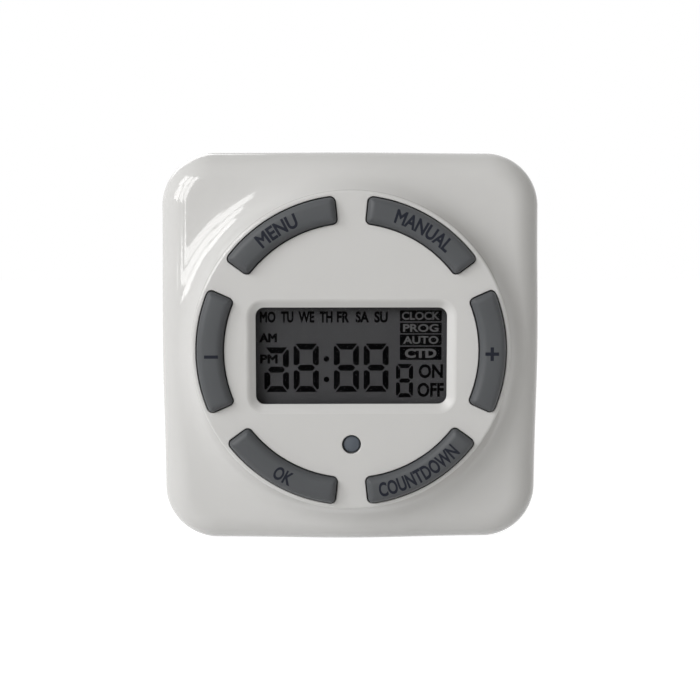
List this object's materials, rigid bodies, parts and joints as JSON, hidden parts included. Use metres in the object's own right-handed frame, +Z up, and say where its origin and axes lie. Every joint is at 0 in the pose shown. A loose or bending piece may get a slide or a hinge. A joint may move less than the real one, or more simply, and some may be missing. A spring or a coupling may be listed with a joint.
{
  "type": "digital plug-in timer",
  "caption": "Square plug-in timer with a raised round dial, arc-shaped grey keys, a digital display and a side outlet.",
  "frame": {"origin": "centre of the flat back face that rests on the wall plate", "axes": "+Z up, -Y out of the dial towards the user, +X to the user's right, +Y along the plug's prongs"},
  "size_m": [0.062, 0.0559, 0.064],
  "materials": {
    "white_shell": "glossy moulded, fine waviness",
    "white_inner": "satin moulded",
    "key_rubber": "satin silicone rubber",
    "clear_window": "polished clear acrylic",
    "display_panel": "dark grey polarised glass",
    "conductive_rubber": "matt",
    "circuit_board": "solder resist over glass laminate",
    "black_resin": "poured resin",
    "black_plastic": "moulded",
    "steel": "zinc plated",
    "carbon": "matt carbon",
    "yellow_case": "moulded case",
    "black_sleeve": "shrunk sleeve",
    "green_sleeve": "shrunk sleeve",
    "blue_lacquer": "dipped lacquer",
    "plated_brass": "nickel plated brass, drawn",
    "brass": "stamped sheet"
  },
  "bodies": {
    "timer_body": {"backup_cell": "green_sleeve", "blade_retainer": "white_inner", "board_header": "black_plastic", "contact_carrier": "white_inner", "contact_pads": "carbon", "controller_chip": "black_resin", "display_board": "circuit_board", "display_board_screws": "steel", "display_frame": "white_inner", "display_glass": "display_panel", "display_window": "clear_window", "electrolytic_capacitor": "black_sleeve", "film_capacitor": "yellow_case", "front_cover": "white_shell", "ground_contact": "brass", "ground_pin": "plated_brass", "ground_strap": "brass", "hot_blade": "plated_brass", "hot_contact": "brass", "housing_screws": "steel", "keypad_sheet": "key_rubber", "neutral_blade": "plated_brass", "neutral_contact": "brass", "outlet_face": "white_inner", "power_board": "circuit_board", "power_board_screws": "steel", "quartz_crystal": "steel", "rear_housing": "white_shell", "rectifier_diodes": "black_plastic", "relay": "black_plastic", "retainer_screws": "steel", "rubber_connectors": "conductive_rubber", "varistor": "blue_lacquer"},
    "menu_key": {"key_menu": "key_rubber", "pill_menu": "carbon"},
    "manual_key": {"key_manual": "key_rubber", "pill_manual": "carbon"},
    "plus_key": {"key_plus": "key_rubber", "pill_plus": "carbon"},
    "countdown_key": {"key_countdown": "key_rubber", "pill_countdown": "carbon"},
    "ok_key": {"key_ok": "key_rubber", "pill_ok": "carbon"},
    "minus_key": {"key_minus": "key_rubber", "pill_minus": "carbon"},
    "reset_key": {"key_reset": "key_rubber", "pill_reset": "carbon"}
  },
  "joints": [
    {"name": "menu_press", "type": "slide", "parent": "timer_body", "child": "menu_key", "axis": [0, 1, 0], "range_m": [0, 0.0008], "stiffness_N_per_m": 800, "springref_m": -0.0006},
    {"name": "manual_press", "type": "slide", "parent": "timer_body", "child": "manual_key", "axis": [0, 1, 0], "range_m": [0, 0.0008], "stiffness_N_per_m": 800, "springref_m": -0.0006},
    {"name": "plus_press", "type": "slide", "parent": "timer_body", "child": "plus_key", "axis": [0, 1, 0], "range_m": [0, 0.0008], "stiffness_N_per_m": 800, "springref_m": -0.0006},
    {"name": "countdown_press", "type": "slide", "parent": "timer_body", "child": "countdown_key", "axis": [0, 1, 0], "range_m": [0, 0.0008], "stiffness_N_per_m": 800, "springref_m": -0.0006},
    {"name": "ok_press", "type": "slide", "parent": "timer_body", "child": "ok_key", "axis": [0, 1, 0], "range_m": [0, 0.0008], "stiffness_N_per_m": 800, "springref_m": -0.0006},
    {"name": "minus_press", "type": "slide", "parent": "timer_body", "child": "minus_key", "axis": [0, 1, 0], "range_m": [0, 0.0008], "stiffness_N_per_m": 800, "springref_m": -0.0006},
    {"name": "reset_press", "type": "slide", "parent": "timer_body", "child": "reset_key", "axis": [0, 1, 0], "range_m": [0, 0.0008], "stiffness_N_per_m": 800, "springref_m": -0.0006}
  ]
}
